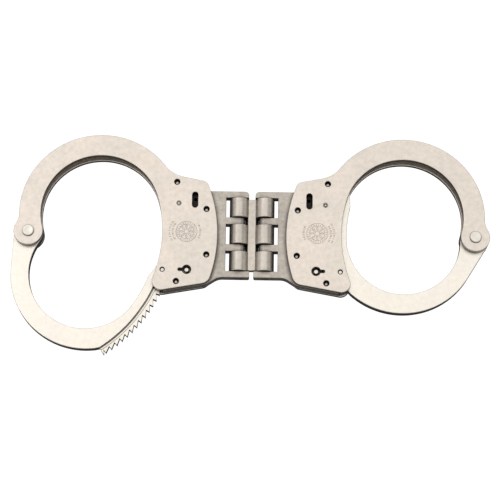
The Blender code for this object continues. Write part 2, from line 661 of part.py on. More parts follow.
def add_rivets(make, side_name):
    """The jaw's pivot rivet, the four body rivets, the lock bar's pin, the guide stud and the key post."""
    foot, gap = PIVOT_HEAD, HOLE_CLEARANCE
    foot_top = -CHEEK_FACE + PIVOT_FOOT_DEPTH - gap
    head_base = CHEEK_FACE + gap
    head_edge = CHEEK_FACE + PIVOT_HEAD_HEIGHT * PIVOT_HEAD_SIDE
    head_top = CHEEK_FACE + PIVOT_HEAD_HEIGHT
    section = [
        (0, head_top),
        (PIVOT_HEAD * PIVOT_HEAD_FLAT, head_top),
        (PIVOT_HEAD, head_edge),
        (PIVOT_HEAD, head_base),
        (PIVOT_SHANK, head_base),
        (PIVOT_SHANK, foot_top),
        (foot, foot_top),
        (foot, -CHEEK_FACE),
        (0, -CHEEK_FACE),
    ]
    make.turned(f"{side_name}_pivot_rivet", section, SATIN_NICKEL, JAW_PIVOT)
    reach = CHEEK_FACE - BODY_RIVET_RECESS
    for number, centre in enumerate(BODY_RIVETS, start=1):
        rivet = cylinder(centre, BODY_RIVET_RADIUS, -reach, reach)
        make.piece(f"{side_name}_body_rivet_{number}", rivet, DARK_NICKEL, centre)
    pin = cylinder(BAR_PIVOT, BAR_PIN_RADIUS, -CHEEK_FACE, CHEEK_FACE)
    make.piece(f"{side_name}_lock_bar_pin", pin, SATIN_NICKEL, BAR_PIVOT)
    stud = cylinder(GUIDE_STUD, GUIDE_STUD_RADIUS, GUIDE_STUD_TIP, CHEEK_FACE - GUIDE_STUD_RECESS)
    make.piece(f"{side_name}_guide_stud", stud, SATIN_NICKEL, GUIDE_STUD)
    post = cylinder(KEY_CENTRE, KEY_POST_RADIUS, -CHEEK_FACE, CHEEK_FACE - KEY_POST_RECESS)
    make.piece(f"{side_name}_key_post", post, BRIGHT_NICKEL, KEY_CENTRE)


def add_lock_parts(make, side_name):
    """The lock bar, its spring and the double-lock slide, all inside the lock body."""
    half = LOCK_PARTS / 2
    hole = circle(BAR_PIVOT, BAR_PIN_RADIUS + 2 * HOLE_CLEARANCE)
    body = plate([bar_outline(), hole], -half, half)
    bar = make.piece(f"{side_name}_lock_bar", body, OILED_STEEL, BAR_PIVOT, -BAR_LIFT)
    rebate = plate([rebate_outline()], REBATE_FLOOR, half + CUT_OVERRUN)
    make.combine(bar, rebate, "DIFFERENCE", BAR_PIVOT)

    middle = Vector(((SLIDE_LEFT + SLIDE_RIGHT) / 2, (BLOCK_TOP + BLOCK_BOTTOM) / 2))
    low, high = Vector((SLIDE_LEFT, BLOCK_BOTTOM, -half)), Vector((SLIDE_RIGHT, BLOCK_TOP, half))
    slide = make.piece(f"{side_name}_double_lock_slide", block(low, high), OILED_STEEL, middle)
    strip = plate([strip_outline()], STRIP_FLOOR, half - STRIP_INSET)
    make.combine(slide, strip, "UNION", middle)
    peg_hole = cylinder(PEG_HOLE, PEG_HOLE_RADIUS, PEG_HOLE_FLOOR, half + CUT_OVERRUN)
    make.combine(slide, peg_hole, "DIFFERENCE", middle)

    bend = arc(SPRING_BEND, SPRING_BEND_RADIUS, SPRING_BEND_START, SPRING_BEND_END, CLOCKWISE)
    ribbon = edited(curve_mesh([[SPRING_FOOT, *bend, SPRING_TIP]], SPRING_FLOOR, SPRING_TOP, False), weld)
    spring = make.piece(f"{side_name}_lock_spring", ribbon, SPRING_STEEL)
    strip_steel = spring.modifiers.new("strip", "SOLIDIFY")
    strip_steel.thickness = SPRING_THICKNESS * MM
    strip_steel.offset = 0


def add_hinge_link(make):
    """The link between the cuffs, a flanged web with three barrels on each pin, and the two pins."""
    web = block(-LINK_WEB / 2, LINK_WEB / 2)
    link = make.piece("hinge_link", web, BRIGHT_NICKEL)
    middle = Vector((0, 0, FLANGE_HEIGHT))
    make.combine(link, block(middle - LINK_FLANGE / 2, middle + LINK_FLANGE / 2), "UNION")
    for side in (1, -1):
        for y in BARREL_PLACES:
            barrel = crosswise_cylinder(side * PIN_X, y, BARREL_RADIUS, BARREL_LENGTH)
            make.combine(link, barrel, "UNION")
    for side_name, side in SIDES:
        bore = crosswise_cylinder(side * PIN_X, 0, BORE_RADIUS, HINGE_WIDTH)
        make.combine(link, bore, "DIFFERENCE")
        pin = crosswise_cylinder(side * PIN_X, 0, PIN_RADIUS, PIN_LENGTH)
        make.piece(f"{side_name}_hinge_pin", pin, DARK_NICKEL, (side * PIN_X, 0, 0))


def shade(objects):
    """Smooth shading on the round faces only."""
    for obj in objects:
        obj.data.shade_smooth()
        obj.data.set_sharp_from_angle(angle=math.radians(CREASE_ANGLE))


def set_down(root, objects):
    """Moves the root so that the object's footprint is centred on the origin and its underside is z = 0."""
    graph = bpy.context.evaluated_depsgraph_get()
    points = []
    for obj in objects:
        solid = obj.evaluated_get(graph)
        points += [obj.matrix_world @ vert.co for vert in solid.to_mesh().vertices]
        solid.to_mesh_clear()
    low = [min(point[axis] for point in points) for axis in range(3)]
    high = [max(point[axis] for point in points) for axis in range(3)]
    root.location = (-(low[0] + high[0]) / 2, -(low[1] + high[1]) / 2, -low[2])


def main():
    for obj in list(bpy.data.objects):
        bpy.data.objects.remove(obj)
    parts, cutters = collection(NAME), collection("cutters")
    root = empty("handcuffs_root", None)
    add_hinge_link(Maker(parts, cutters, root, 1))
    for side_name, side in SIDES:
        cuff = empty(f"{side_name}_cuff", root, (side * PIN_X * MM, 0, 0))
        make = Maker(parts, cutters, cuff, side)
        add_cheeks(make, side_name)
        add_hinge_frame(make, side_name)
        add_jaw(make, side_name)
        add_rivets(make, side_name)
        add_lock_parts(make, side_name)
    shade(parts.objects)
    bpy.context.view_layer.update()
    set_down(root, parts.objects)
    bpy.context.view_layer.update()


main()
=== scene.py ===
import math

import bmesh
import bpy
from mathutils import Matrix, Vector


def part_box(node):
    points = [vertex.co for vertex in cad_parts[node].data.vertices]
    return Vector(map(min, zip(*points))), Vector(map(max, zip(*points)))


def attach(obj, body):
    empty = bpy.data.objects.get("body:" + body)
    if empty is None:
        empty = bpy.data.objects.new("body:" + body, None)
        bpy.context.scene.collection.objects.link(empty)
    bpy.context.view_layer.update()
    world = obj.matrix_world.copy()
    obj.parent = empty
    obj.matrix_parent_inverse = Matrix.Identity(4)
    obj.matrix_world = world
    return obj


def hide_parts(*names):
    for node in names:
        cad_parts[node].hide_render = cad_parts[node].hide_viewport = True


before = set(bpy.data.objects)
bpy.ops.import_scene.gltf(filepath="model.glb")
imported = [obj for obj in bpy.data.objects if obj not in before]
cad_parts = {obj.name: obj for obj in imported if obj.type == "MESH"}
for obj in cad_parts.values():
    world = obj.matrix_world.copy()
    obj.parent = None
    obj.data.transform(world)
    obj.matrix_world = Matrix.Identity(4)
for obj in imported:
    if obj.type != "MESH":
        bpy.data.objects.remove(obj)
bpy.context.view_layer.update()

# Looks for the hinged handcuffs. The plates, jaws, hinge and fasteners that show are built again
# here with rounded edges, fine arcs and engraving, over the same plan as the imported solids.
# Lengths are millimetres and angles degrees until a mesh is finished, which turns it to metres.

MM = 0.001
ANTICLOCKWISE, CLOCKWISE = 1, -1
SIDES = (("right", 1), ("left", -1))

# The plan's origin, between the two hinge pins, comes from the frame.
pin_boxes = [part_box(f"{side_name}_hinge_pin") for side_name, _ in SIDES]
PLAN_ORIGIN = sum((corner for pin_box in pin_boxes for corner in pin_box), Vector()) / 4

# How far a chord may leave its arc, and how close points are that count as one, are welded, or lie on
# an axis. An arc of exactly 360 degrees would have no length, so a circle stops just short of it.
CHORD_ERROR = 0.004
SAME_POINT, WELD, ON_AXIS = 1e-3, 1e-4, 1e-6
ALMOST_ROUND = 359.999

# Thickness of the stack.
CHEEK, PLATE_GAP, FRAME, JAW = 2.5, 0.1, 5.2, 4.9
CHEEK_BASE = FRAME / 2 + PLATE_GAP
CHEEK_FACE = CHEEK_BASE + CHEEK

# The double bow.
JAW_PIVOT = Vector((98.2, -0.4))
RING_CENTRE, RING_INNER, RING_OUTER = Vector((66.8, 8.4)), 26.2, 35.68
EYE_BLEND, SHOULDER_BLEND = 8.0, 13.4
TOP_EDGE_POINT, TOP_EDGE_ANGLE = Vector((31.0, 25.5)), 11.3
BOTTOM_EDGE_POINT, BOTTOM_EDGE_ANGLE = Vector((24.0, -23.6)), -10.2
BACK_CENTRE, BACK_RADIUS = Vector((77.9, -1.2)), 62.8
TOP_CORNER, BOTTOM_CORNER, RING_CORNER = 3.0, 4.5, 4.0

# Holes and fasteners.
BODY_RIVETS = (Vector((33.3, 22.9)), Vector((20.1, 10.6)), Vector((19.8, -10.1)), Vector((32.8, -22.3)))
BODY_RIVET_RADIUS, BODY_RIVET_RECESS = 1.2, 1.5
HOLE_CLEARANCE = 0.1
KEY_CENTRE = Vector((28.3, -17.0))
KEYHOLE_RADIUS, BIT_REACH, BIT_WIDTH = 2.0, 3.9, 1.3
KEY_POST_RADIUS, KEY_POST_RECESS = 1.0, 0.8
SLOT_CENTRE, SLOT_LENGTH, SLOT_WIDTH = Vector((25.2, 14.8)), 7.2, 2.6
GUIDE_STUD, GUIDE_STUD_RADIUS = Vector((38.9, -17.1)), 0.95
GUIDE_STUD_RECESS, GUIDE_STUD_TIP = 0.7, 2.0
BAR_PIVOT, BAR_PIN_RADIUS = Vector((32.3, 13.1)), 0.9
PIVOT_SHANK, PIVOT_HEAD, PIVOT_HEAD_HEIGHT = 2.0, 2.55, 0.9
PIVOT_FOOT_BORE, PIVOT_FOOT_DEPTH = 2.75, 0.9
BORE_CHAMFER_DEPTH, BORE_CHAMFER_WIDTH, BORE_OVERRUN = 0.15, 0.4, 0.25

# Heads of the fasteners. A dish or a crown is a row of points, each a share of a head's radius and a
# depth below its top. PIN_DISH has shares of the dish's depth. BAR_PIN_HEAD, a disc with a ring cut
# round it, has radii and depths.
SNUG = HOLE_CLEARANCE * 0.6
PIVOT_DISH = ((0, 0.12), (0.5, 0.09), (0.72, 0))
BUTTON_CROWN = ((0, 0), (0.6, 0.03))
BUTTON_RADIUS, BUTTON_DROP, BUTTON_FOOT, BUTTON_SEAT = 0.8, 0.08, 0.7, 0.8
BAR_PIN_HEAD = ((0, 0.05), (0.34, 0.07), (0.4, 0.9), (0.74, 0.9), (0.78, 0))
STUD_HEAD, STUD_HEAD_HEIGHT = 0.85, 0.7
PIN_DISH = ((0, 1), (0.45, 0.75), (0.62, 0))
KEY_POST_DISH, HINGE_PIN_DISH = 0.1, 0.15

# The rosette: rings, a crown of ticks, petals by their half length and half width, and rows of leaning
# ticks beside it, each row by its first angle, its count and its radius.
EMBLEM_CENTRE = Vector((28.7, 0.1))
ROSETTE_RINGS, ROSETTE_SIDES = (1.05, 3.3, 4.6), 48
CROWN_TICKS, CROWN_RADII = 24, (3.75, 4.15)
PETALS, PETAL_PLACE, PETAL_LENGTH, PETAL_WIDTH, PETAL_STEP = 8, 2.18, 0.72, 0.36, 30
TICK_ROWS = ((-35, 11, 5.7), (-33, 11, 7.1), (150, 9, 5.7))
TICK_PITCH, TICK_LENGTH, TICK_LEANS = 7, 0.75, (14, -20, 6)

# The jaw.
JAW_SWEEP = 65.2
BOW_INNER_CENTRE, BOW_INNER = Vector((66.75, -1.0)), 25.05
BOW_OUTER_CENTRE, BOW_OUTER = Vector((65.9, -0.9)), 33.7
BOW_END_INSET, STEP_OVERLAP, STEP_INSET = 0.6, 0.8, 0.1
WEB_EDGE, STEP_EDGE, TOOTH_ROOT, TOOTH_TIP = 60.4, 61.6, 62.7, 64.4
TOOTH_COUNT, TOOTH_PITCH, TOOTH_SLOPE = 16, 2.6, 2.5
TOOTH_CORNER = 0.3
FIRST_TOOTH, JAW_TIP, WEB_END = -19.0, -21.4, 23.6
TIP_LEAD, TIP_RISE = 0.2, 0.4
TAPER_START, TIP_INNER = -14.0, 59.2
STEP_THICKNESS, TOOTH_THICKNESS = 3.7, 3.2
TEETH_OPEN = {"right": 0, "left": 13}

# The hinge and the cavity of the lock body.
PIN_X, PIN_RADIUS, PIN_LENGTH, BORE_RADIUS = 5.65, 1.5, 39.0, 1.6
BARREL_RADIUS, BARREL_LENGTH, BARREL_PITCH = 4.25, 8.7, 12.2
BARREL_PLACES = (BARREL_PITCH, 0.0, -BARREL_PITCH)
LINK_WEB = Vector((3.6, 32.5, 3.3))
LINK_FLANGE, FLANGE_HEIGHT = Vector((6.08, 31.9, 0.9)), -1.1
HINGE_WIDTH, WINDOW_WIDTH, WINDOW_END = 39.2, 9.1, 11.5
TOP_LUG_END, LOW_LUG_END = 1.4, 0.9
TOP_LUG_ROUND, LOW_LUG_ROUND = 1.8, 0.7
KNUCKLE_RADIUS, KNUCKLE_INSET = 2.6, 0.01
FOOT_START, FOOT_END, FOOT_BLEND = 14.5, 19.5, 6.0
CAVITY_BACK, CAVITY_TOP, CAVITY_BOTTOM = 23.4, 19.1, -18.5
KEY_CLEARANCE, CAVITY_CHAMFER = 4.2, 0.4

# The grooves along the web, by their inner and outer radii and the height of their floors, and how far
# they run past its end and its tip. The web's lines run WEB_SPREAD further out at its end.
WEB_GROOVES = ((60.35, 61.1, 0.7), (61.7, 61.9, 1.4))
WEB_GROOVE_LEAD, WEB_GROOVE_TAIL = 1, 0.5
WEB_SPREAD, WEB_STEPS = 0.6, 36

# Rounding of the edges, its steps on plates and on turned pieces, and the sides of turned pieces.
PLATE_EDGE, FRAME_EDGE, WEB_STEP_EDGE, WEB_GROOVE_EDGE = 0.28, 0.22, 0.12, 0.02
LINK_EDGE, FLANGE_EDGE, BARREL_EDGE = 0.4, 0.03, 0.3
PIN_EDGE, PIVOT_HEAD_EDGE = 0.2, 0.4
BAR_PIN_EDGE, KEY_POST_EDGE = PIN_EDGE / 2, PIN_EDGE * 1.6
EDGE_STEPS, QUARTER_STEPS = 3, 5
TURNED_SIDES, BARREL_SIDES = 48, 72

# Faces that meet at more than SHARP_ANGLE keep a hard edge, and large flat faces stay flat.
SHARP_ANGLE, FLAT_FACE_WEIGHT = 40, 100

# The engraving is cut by round bars, whose axes run a little above the cheek's face. Other radii and
# heights can make the Boolean that cuts it fail.
GROOVE_RADIUS, GROOVE_RISE = 0.2, 0.05

# Scales of the finish per metre, the depth of its relief, and how far the painted shade reaches out of
# a corner.
CLOUD_SCALE, PATCH_SCALE, SPECK_SCALE = 55.0, 520.0, 5200.0
BRUSH_SCALE, SCRATCH_SCALE, SCRATCH_ANGLE = (70, 4200, 900), (26, 2600, 26), 24.0
RELIEF_DEPTH, RELIEF_STRENGTH, PAINTED_SHADE_REACH = 0.000012, 0.35, 0.002

# The camera in millimetres and degrees. The floor, the lights and the sky are in metres and watts.
# A soft box has a name, a place, a size and a power; the sky has stops from straight down to up.
CAMERA_ELEVATION, CAMERA_ROLL = 75.0, 0.89
CAMERA_DISTANCE, CAMERA_LENS, SENSOR_WIDTH = 840.0, 137.3, 36
CAMERA_AIM = Vector((-0.7, -6.45, 0.0))
FLOOR_REACH, FLOOR_HEIGHT, FLOOR_GLOW = 6.0, -0.165, 0.985
LIGHT_COLOUR = (1.0, 0.985, 0.965)
SOFT_BOXES = (
    ("overhead", (0.0, 0.30, 1.1), 1.5, 8.0),
    ("from the left", (-0.40, 0.12, 0.55), 0.3, 0.35),
)
SKY = ((0.0, 0.08), (0.15, 0.10), (0.38, 0.60), (0.60, 1.15), (0.85, 0.48), (1.0, 0.40))


# ---------------------------------------------------------------------------------------------
# Plan geometry


def along(angle):
    """The unit vector at an angle from +x."""
    return Vector((math.cos(math.radians(angle)), math.sin(math.radians(angle))))


def left_of(angle):
    """The unit vector to the left of a line that runs at an angle."""
    return along(angle + 90)


def heading(vector):
    """The angle of a vector from +x."""
    return math.degrees(math.atan2(vector.y, vector.x))


def arc(centre, radius, start, end, way):
    """Points from one heading to another round a centre, with chords within CHORD_ERROR of the arc."""
    sweep = way * ((way * (end - start)) % 360)
    step = math.degrees(2 * math.acos(1 - CHORD_ERROR / radius))
    count = max(2, math.ceil(abs(sweep) / step))
    return [centre + radius * along(start + sweep * i / count) for i in range(count + 1)]


def circle(centre, radius):
    """Points all the way round a centre, for a closed outline."""
    return arc(centre, radius, 0, ALMOST_ROUND, ANTICLOCKWISE)[:-1]


def circles_meet(first, first_radius, second, second_radius, side):
    """The point at two distances from two centres, left (1) or right (-1) of the line between them."""
    gap = (second - first).length
    foot = (gap**2 + first_radius**2 - second_radius**2) / (2 * gap)
    offset = math.sqrt(first_radius**2 - foot**2)
    angle = heading(second - first)
    return first + foot * along(angle) + side * offset * left_of(angle)


def line_enters_circle(point, angle, centre, radius):
    """The first point where a line, followed at its angle, meets a circle."""
    foot = (centre - point).dot(along(angle))
    nearest = point + foot * along(angle)
    half_chord = math.sqrt(radius**2 - (nearest - centre).length_squared)
    return nearest - half_chord * along(angle)


def rounded(before, corner, after, radius):
    """The arc that rounds a corner between two straight edges."""
    back, on = (before - corner).normalized(), (after - corner).normalized()
    half = back.angle(on) / 2
    centre = corner + (back + on).normalized() * radius / math.sin(half)
    start = corner + back * radius / math.tan(half) - centre
    end = corner + on * radius / math.tan(half) - centre
    way = ANTICLOCKWISE if start.cross(end) > 0 else CLOCKWISE
    return arc(centre, radius, heading(start), heading(end), way)


def joined(*pieces):
    """One outline from several runs of points, without the points that repeat where they meet."""
    points = [point for piece in pieces for point in piece]
    return [point for i, point in enumerate(points) if (point - points[i - 1]).length > SAME_POINT]


def about_pivot(angle, radius):
    """A point at a polar angle about the jaw pivot, from -x and growing towards -y."""
    return JAW_PIVOT + radius * along(180 + angle)


# ---------------------------------------------------------------------------------------------
# Outlines of the pieces


def corner_centre(point, angle, radius, side, centre, reach):
    """The centre of a round that touches a straight edge, left (1) or right (-1) of it, and whose own
    distance from another centre is reach."""
    return line_enters_circle(point + side * radius * left_of(angle), angle, centre, reach)


def top_corner_centre():
    """The centre of the round between the cheek's top edge and its back."""
    reach = BACK_RADIUS - TOP_CORNER
    return corner_centre(TOP_EDGE_POINT, TOP_EDGE_ANGLE, TOP_CORNER, -1, BACK_CENTRE, reach)


def shoulder_outline(ring_start):
    """The ring's outside from a heading, the shoulder, the top edge and the top corner."""
    reach = RING_OUTER + SHOULDER_BLEND
    shoulder = corner_centre(TOP_EDGE_POINT, TOP_EDGE_ANGLE, SHOULDER_BLEND, 1, RING_CENTRE, reach)
    corner = top_corner_centre()
    up = TOP_EDGE_ANGLE + 90
    return joined(
        arc(RING_CENTRE, RING_OUTER, ring_start, heading(shoulder - RING_CENTRE), ANTICLOCKWISE),
        arc(shoulder, SHOULDER_BLEND, heading(RING_CENTRE - shoulder), up + 180, CLOCKWISE),
        arc(corner, TOP_CORNER, up, heading(corner - BACK_CENTRE), ANTICLOCKWISE),
    )


def cheek_outline():
    """Half of the double bow: eye, ring and lock body in one plate."""
    towards_ring = heading(RING_CENTRE - JAW_PIVOT)
    reach = (RING_CENTRE - JAW_PIVOT).length
    eye, inner_edge = reach - RING_INNER, reach + RING_INNER
    blend = circles_meet(RING_CENTRE, RING_OUTER + EYE_BLEND, JAW_PIVOT, eye + EYE_BLEND, 1)
    low_edge = BOTTOM_EDGE_POINT, BOTTOM_EDGE_ANGLE
    corner = corner_centre(*low_edge, RING_CORNER, 1, JAW_PIVOT, inner_edge + RING_CORNER)
    back_bottom = corner_centre(*low_edge, BOTTOM_CORNER, 1, BACK_CENTRE, BACK_RADIUS - BOTTOM_CORNER)
    back_start = heading(top_corner_centre() - BACK_CENTRE)
    back_end = heading(back_bottom - BACK_CENTRE)
    down = BOTTOM_EDGE_ANGLE - 90
    return joined(
        arc(JAW_PIVOT, eye, towards_ring, heading(blend - JAW_PIVOT), ANTICLOCKWISE),
        arc(blend, EYE_BLEND, heading(JAW_PIVOT - blend), heading(RING_CENTRE - blend), CLOCKWISE),
        shoulder_outline(heading(blend - RING_CENTRE)),
        arc(BACK_CENTRE, BACK_RADIUS, back_start, back_end, ANTICLOCKWISE),
        arc(back_bottom, BOTTOM_CORNER, back_end, down, ANTICLOCKWISE),
        arc(corner, RING_CORNER, down, heading(JAW_PIVOT - corner), ANTICLOCKWISE),
        arc(JAW_PIVOT, inner_edge, heading(corner - JAW_PIVOT), towards_ring, CLOCKWISE),
        arc(RING_CENTRE, RING_INNER, towards_ring, towards_ring + 180, CLOCKWISE),
    )


def keyhole_outline():
    """A round hole with a slot for the key's bit, towards the ring."""
    half = BIT_WIDTH / 2
    mouth = math.degrees(math.asin(half / KEYHOLE_RADIUS))
    slot_end = KEY_CENTRE + Vector((BIT_REACH - half, 0))
    return joined(
        arc(KEY_CENTRE, KEYHOLE_RADIUS, mouth, -mouth, ANTICLOCKWISE),
        arc(slot_end, half, -90, 90, ANTICLOCKWISE),
    )


def slot_outline():
    """The long slot over the double-lock slide."""
    radius = SLOT_WIDTH / 2
    reach = Vector((0, SLOT_LENGTH / 2 - radius))
    return joined(
        arc(SLOT_CENTRE + reach, radius, 0, 180, ANTICLOCKWISE),
        arc(SLOT_CENTRE - reach, radius, 180, 360, ANTICLOCKWISE),
    )


def comb_outline():
    """The frame's hinge side from the top down: a lug, two fingers that stop at the pin, and a lug."""
    ends = (TOP_LUG_END, PIN_X, PIN_X, LOW_LUG_END)
    edge = Vector((0, HINGE_WIDTH / 2))
    corner, far = Vector((TOP_LUG_END, 0)) + edge, Vector((FOOT_START, 0)) + edge
    points = rounded(far, corner, corner - Vector((0, HINGE_WIDTH)), TOP_LUG_ROUND)
    for place, above, below in zip(BARREL_PLACES, ends, ends[1:]):
        top, bottom = place + WINDOW_WIDTH / 2, place - WINDOW_WIDTH / 2
        points += [Vector((above, top)), Vector((WINDOW_END, top))]
        points += [Vector((WINDOW_END, bottom)), Vector((below, bottom))]
    corner, far = Vector((LOW_LUG_END, 0)) - edge, Vector((FOOT_START, 0)) - edge
    return points + rounded(points[-1], corner, far, LOW_LUG_ROUND)


def cavity_outline():
    """The walls round the lock parts, from the mouth below the jaw to the mouth above it."""
    drop = math.degrees(math.asin((KEY_CENTRE.y - CAVITY_BOTTOM) / KEY_CLEARANCE))
    corner = Vector((CAVITY_BACK, KEY_CENTRE.y + CAVITY_CHAMFER))
    return joined(
        arc(KEY_CENTRE, KEY_CLEARANCE, -drop, 180, CLOCKWISE),
        [corner, Vector((CAVITY_BACK, CAVITY_TOP))],
    )


def frame_outline():
    """The spacer between the cheeks and the hinge plate that runs on from it."""
    ring_crossing = circles_meet(JAW_PIVOT, JAW_SWEEP, RING_CENTRE, RING_OUTER, -1)
    back_start = heading(top_corner_centre() - BACK_CENTRE)
    plate_top = 180 - math.degrees(math.asin((HINGE_WIDTH / 2 - BACK_CENTRE.y) / BACK_RADIUS))
    foot_start = Vector((FOOT_START, -HINGE_WIDTH / 2))
    slope = math.tan(math.radians(BOTTOM_EDGE_ANGLE))
    foot_end = Vector((FOOT_END, BOTTOM_EDGE_POINT.y + slope * (FOOT_END - BOTTOM_EDGE_POINT.x)))
    comb = comb_outline()
    mouth = line_enters_circle(BOTTOM_EDGE_POINT, BOTTOM_EDGE_ANGLE, JAW_PIVOT, JAW_SWEEP)
    cavity_low = math.degrees(math.asin((JAW_PIVOT.y - CAVITY_BOTTOM) / JAW_SWEEP))
    cavity_high = math.degrees(math.asin((CAVITY_TOP - JAW_PIVOT.y) / JAW_SWEEP))
    return joined(
        shoulder_outline(heading(ring_crossing - RING_CENTRE)),
        arc(BACK_CENTRE, BACK_RADIUS, back_start, plate_top, ANTICLOCKWISE),
        comb,
        rounded(comb[-1], foot_start, foot_end, FOOT_BLEND),
        rounded(foot_start, foot_end, mouth, FOOT_BLEND),
        arc(JAW_PIVOT, JAW_SWEEP, heading(mouth - JAW_PIVOT), 180 + cavity_low, CLOCKWISE),
        cavity_outline(),
        arc(JAW_PIVOT, JAW_SWEEP, 180 - cavity_high, heading(ring_crossing - JAW_PIVOT), CLOCKWISE),
    )


def web_line(radius, start, end):
    """Points along the web, on a line that spreads outward towards the web's end."""
    turns = [start + (end - start) * i / WEB_STEPS for i in range(WEB_STEPS + 1)]
    return [about_pivot(turn, radius + WEB_SPREAD * max(0, turn / WEB_END)) for turn in turns]


def jaw_outline():
    """The jaw's full-thickness plate: hub, bow and toothless web, which tapers towards its tip."""
    to_inner = heading(BOW_INNER_CENTRE - JAW_PIVOT)
    reach = (BOW_INNER_CENTRE - JAW_PIVOT).length
    hub, web_inner = reach - BOW_INNER, reach + BOW_INNER
    bow = BOW_OUTER_CENTRE
    bow_end = circles_meet(JAW_PIVOT, WEB_EDGE + WEB_SPREAD - BOW_END_INSET, bow, BOW_OUTER, 1)
    lean = math.degrees(math.acos((BOW_OUTER - hub) / (JAW_PIVOT - bow).length))
    shoulder = heading(JAW_PIVOT - bow) - lean
    return joined(
        arc(JAW_PIVOT, hub, to_inner, shoulder, CLOCKWISE),
        arc(bow, BOW_OUTER, shoulder, heading(bow_end - bow), CLOCKWISE),
        web_line(WEB_EDGE, WEB_END, JAW_TIP),
        [about_pivot(JAW_TIP, TIP_INNER)],
        arc(JAW_PIVOT, web_inner, 180 + TAPER_START, to_inner, ANTICLOCKWISE),
        arc(BOW_INNER_CENTRE, BOW_INNER, to_inner, to_inner + 180, ANTICLOCKWISE),
    )


def step_outline(outer_run):
    """A thinner sector, from inside the web out to a run of points from the web's end to its tip."""
    inner = WEB_EDGE - STEP_OVERLAP
    start, end = heading(outer_run[-1] - JAW_PIVOT), heading(outer_run[0] - JAW_PIVOT)
    return joined(outer_run, arc(JAW_PIVOT, inner, start, end, ANTICLOCKWISE))


def tooth_run():
    """The teeth from the web's end to its tip: steep flanks face the end, slopes face the tip."""
    low_corner = about_pivot(WEB_END, TOOTH_TIP - TOOTH_CORNER)
    points = [low_corner, about_pivot(WEB_END - TOOTH_CORNER, TOOTH_TIP)]
    for index in reversed(range(TOOTH_COUNT)):
        root = FIRST_TOOTH + TOOTH_PITCH * index
        points.append(about_pivot(root + TOOTH_PITCH, TOOTH_ROOT))
        points.append(about_pivot(root + TOOTH_SLOPE, TOOTH_TIP))
    points.append(about_pivot(FIRST_TOOTH, TOOTH_ROOT))
    points.append(about_pivot(JAW_TIP + TIP_LEAD, STEP_EDGE + TIP_RISE))
    return points


# ---------------------------------------------------------------------------------------------
# Mesh making


def edited(mesh, edit):
    """The same mesh after an edit on it as a bmesh."""
    work = bmesh.new()
    work.from_mesh(mesh)
    edit(work)
    bmesh.ops.recalc_face_normals(work, faces=work.faces)
    work.to_mesh(mesh)
    work.free()
    return mesh


def weld(work):
    """Joins the points of a bmesh that lie in one place."""
    bmesh.ops.remove_doubles(work, verts=work.verts, dist=WELD)


def evaluated_mesh(obj):
    """The mesh that an object's curve or modifiers make."""
    return bpy.data.meshes.new_from_object(obj.evaluated_get(bpy.context.evaluated_depsgraph_get()))


def curve_mesh(data, runs, height, closed):
    """The mesh of a curve through runs of points at one height. The curve itself is used up."""
    for run in runs:
        spline = data.splines.new("POLY")
        spline.points.add(len(run) - 1)
        for slot, point in zip(spline.points, run):
            slot.co = (point.x, point.y, height, 1)
        spline.use_cyclic_u = closed
    curve = bpy.data.objects.new(data.name, data)
    bpy.context.scene.collection.objects.link(curve)
    mesh = evaluated_mesh(curve)
    bpy.data.objects.remove(curve)
    bpy.data.curves.remove(data)
    return mesh


def plate(runs, low, high, edge):
    """A plate between two heights from its outline and its holes, with every edge rounded."""
    data = bpy.data.curves.new("outline", "CURVE")
    data.dimensions = "2D"
    data.fill_mode = "BOTH"
    data.extrude = (high - low) / 2 - edge
    data.bevel_depth = edge
    data.bevel_resolution = EDGE_STEPS - 1
    data.offset = -edge
    mesh = curve_mesh(data, runs, 0, True)
    mesh.transform(Matrix.Translation((0, 0, (low + high) / 2)))
    mesh.materials.clear()
    return edited(mesh, weld)


def slab(size, middle, edge):
    """A plate with a rectangular outline round the plan's origin, from the height of its middle."""
    half = size / 2
    corners = [Vector((x * half.x, y * half.y)) for x, y in ((-1, -1), (1, -1), (1, 1), (-1, 1))]
    return plate([corners], middle - half.z, middle + half.z, edge)


def lathe(profile, centre=(0, 0), segments=TURNED_SIDES):
    """A turned solid on an upright axis from (radius, height) points, from the top to the foot."""
    mesh = bpy.data.meshes.new("turned")

    def spin(work):
        rings = []
        for radius, height in profile:
            if radius < ON_AXIS:
                rings.append([work.verts.new((centre[0], centre[1], height))])
                continue
            ring = []
            for i in range(segments):
                spot = Vector(centre) + radius * along(360 * i / segments)
                ring.append(work.verts.new((spot.x, spot.y, height)))
            rings.append(ring)
        for upper, lower in zip(rings, rings[1:]):
            for i in range(segments):
                j = (i + 1) % segments
                corners = [upper[i % len(upper)], upper[j % len(upper)]]
                corners += [lower[j % len(lower)], lower[i % len(lower)]]
                unique = list(dict.fromkeys(corners))
                if len(unique) > 2:
                    work.faces.new(unique)

    return edited(mesh, spin)


def quarter(radius, height, size, start, end):
    """Points of a rounded edge in a turned profile, round a centre at a radius and a height."""
    angles = [start + (end - start) * i / QUARTER_STEPS for i in range(QUARTER_STEPS + 1)]
    return [(radius + size * along(angle).x, height + size * along(angle).y) for angle in angles]


def top_edge(radius, height, size):
    """The rounded edge at the top of a turned profile."""
    return quarter(radius - size, height - size, size, 90, 0)


def foot_edge(radius, height, size):
    """The rounded edge at the foot of a turned profile."""
    return quarter(radius - size, height + size, size, 0, -90)


def pin_profile(radius, low, high, edge, dish=0.0):
    """A plain pin with rounded ends and, if dish is given, a shallow hollow in its top."""
    top = [(radius * share, high - dish * depth) for share, depth in PIN_DISH]
    return [
        *(top if dish else [(0, high)]),
        *top_edge(radius, high, edge),
        *foot_edge(radius, low, edge),
        (0, low),
    ]


def crosswise(mesh, x, y):
    """The same mesh with its upright axis laid along y, at a place on the plan."""
    mesh.transform(Matrix.Rotation(math.radians(90), 4, "X"))
    mesh.transform(Matrix.Translation((x, y, 0)))
    return mesh


